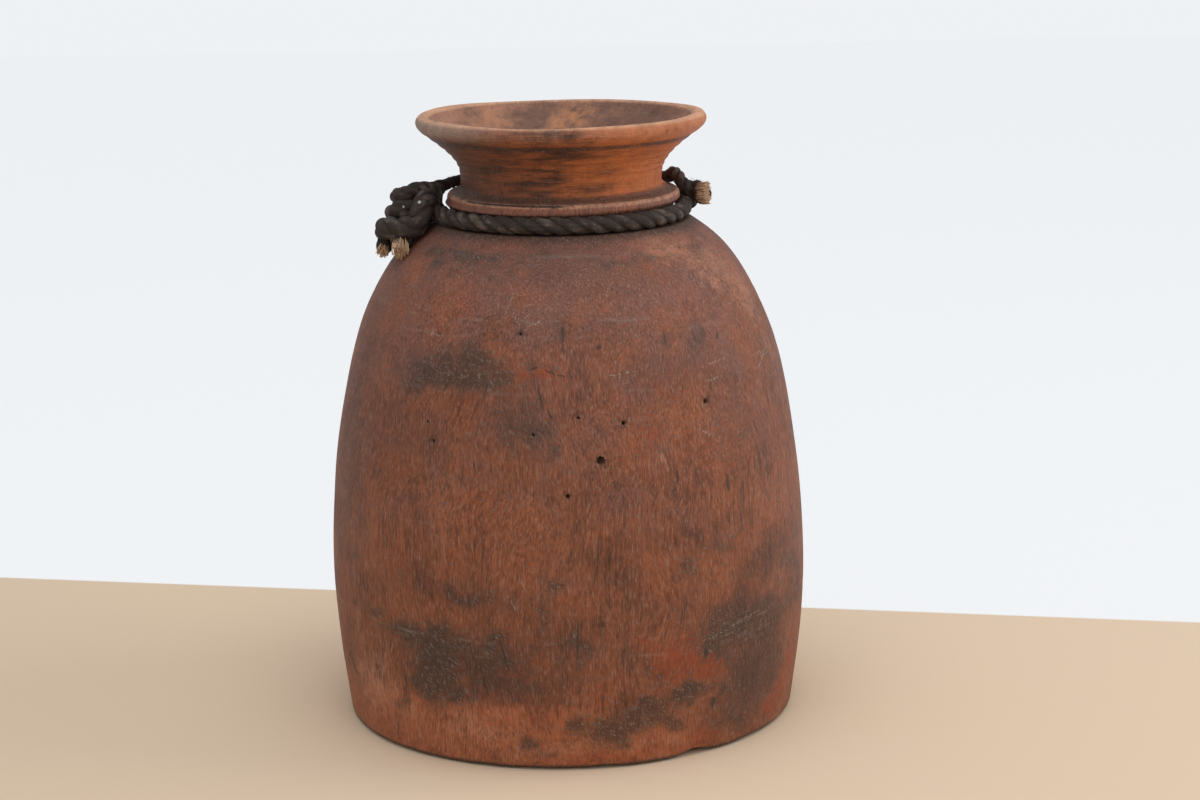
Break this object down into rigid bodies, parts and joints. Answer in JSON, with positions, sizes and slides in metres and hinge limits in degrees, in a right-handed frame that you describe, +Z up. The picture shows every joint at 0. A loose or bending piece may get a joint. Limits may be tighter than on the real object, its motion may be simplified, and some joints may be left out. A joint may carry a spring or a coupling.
{
  "type": "wooden milk pot",
  "caption": "Barrel-bodied carved wooden milk pot with a flared neck and a knotted rope tied round the groove under its collar.",
  "frame": {"origin": "middle of the flat base that the pot stands on, on the axis that the pot was turned about", "axes": "+Z up along the pot's axis, towards the rim; +X to the right and -Y towards the viewer, with the large knot on the left at -X"},
  "size_m": [0.239, 0.239, 0.3],
  "materials": {
    "wood": "hand-worn reddish brown, fine upright grain, greasy dark patches",
    "black_rope": "laid fibre rope, nearly black, slightly greasy",
    "black_cord": "fine laid cord, nearly black, slightly greasy",
    "frayed_fibre": "pale frayed fibre, matt"
  },
  "bodies": {
    "pot": {"pot": "wood"},
    "rope_ring": {"front_rope": "black_rope", "back_cord": "black_cord", "left_knot": "black_rope", "right_knot": "black_rope", "left_rope_end": "frayed_fibre", "left_cord_end": "frayed_fibre", "right_rope_end": "frayed_fibre"}
  },
  "joints": [
    {"name": "ring_turn", "type": "hinge", "parent": "pot", "child": "rope_ring", "pos_m": [0, 0, 0.25275], "axis": [0, 0, 1], "continuous": true}
  ]
}
